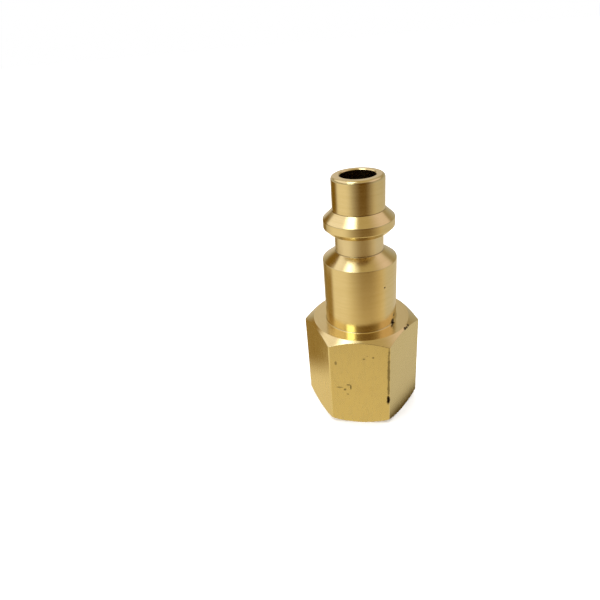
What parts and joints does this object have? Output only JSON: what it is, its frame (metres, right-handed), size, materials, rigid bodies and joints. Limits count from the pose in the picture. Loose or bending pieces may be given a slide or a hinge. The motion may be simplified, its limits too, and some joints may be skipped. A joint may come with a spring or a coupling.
{
  "type": "quick disconnect plug",
  "caption": "Turned brass air line plug: bored nose, ball-locking collar and neck, plain shank, chamfered hexagonal body with a female taper pipe thread.",
  "frame": {"origin": "centre of the thread end's face, on the plug's axis; the plug stands on this face", "axes": "+Z along the axis, from the thread end to the coupling nose; two of the hexagon's flats face +Y and -Y, and two of its corners point along +X and -X"},
  "size_m": [0.0196, 0.017, 0.0414],
  "materials": {
    "brass": "bright turned, with satin drawn flats on the hexagon"
  },
  "bodies": {
    "root": {"plug_body": "brass"}
  },
  "joints": []
}
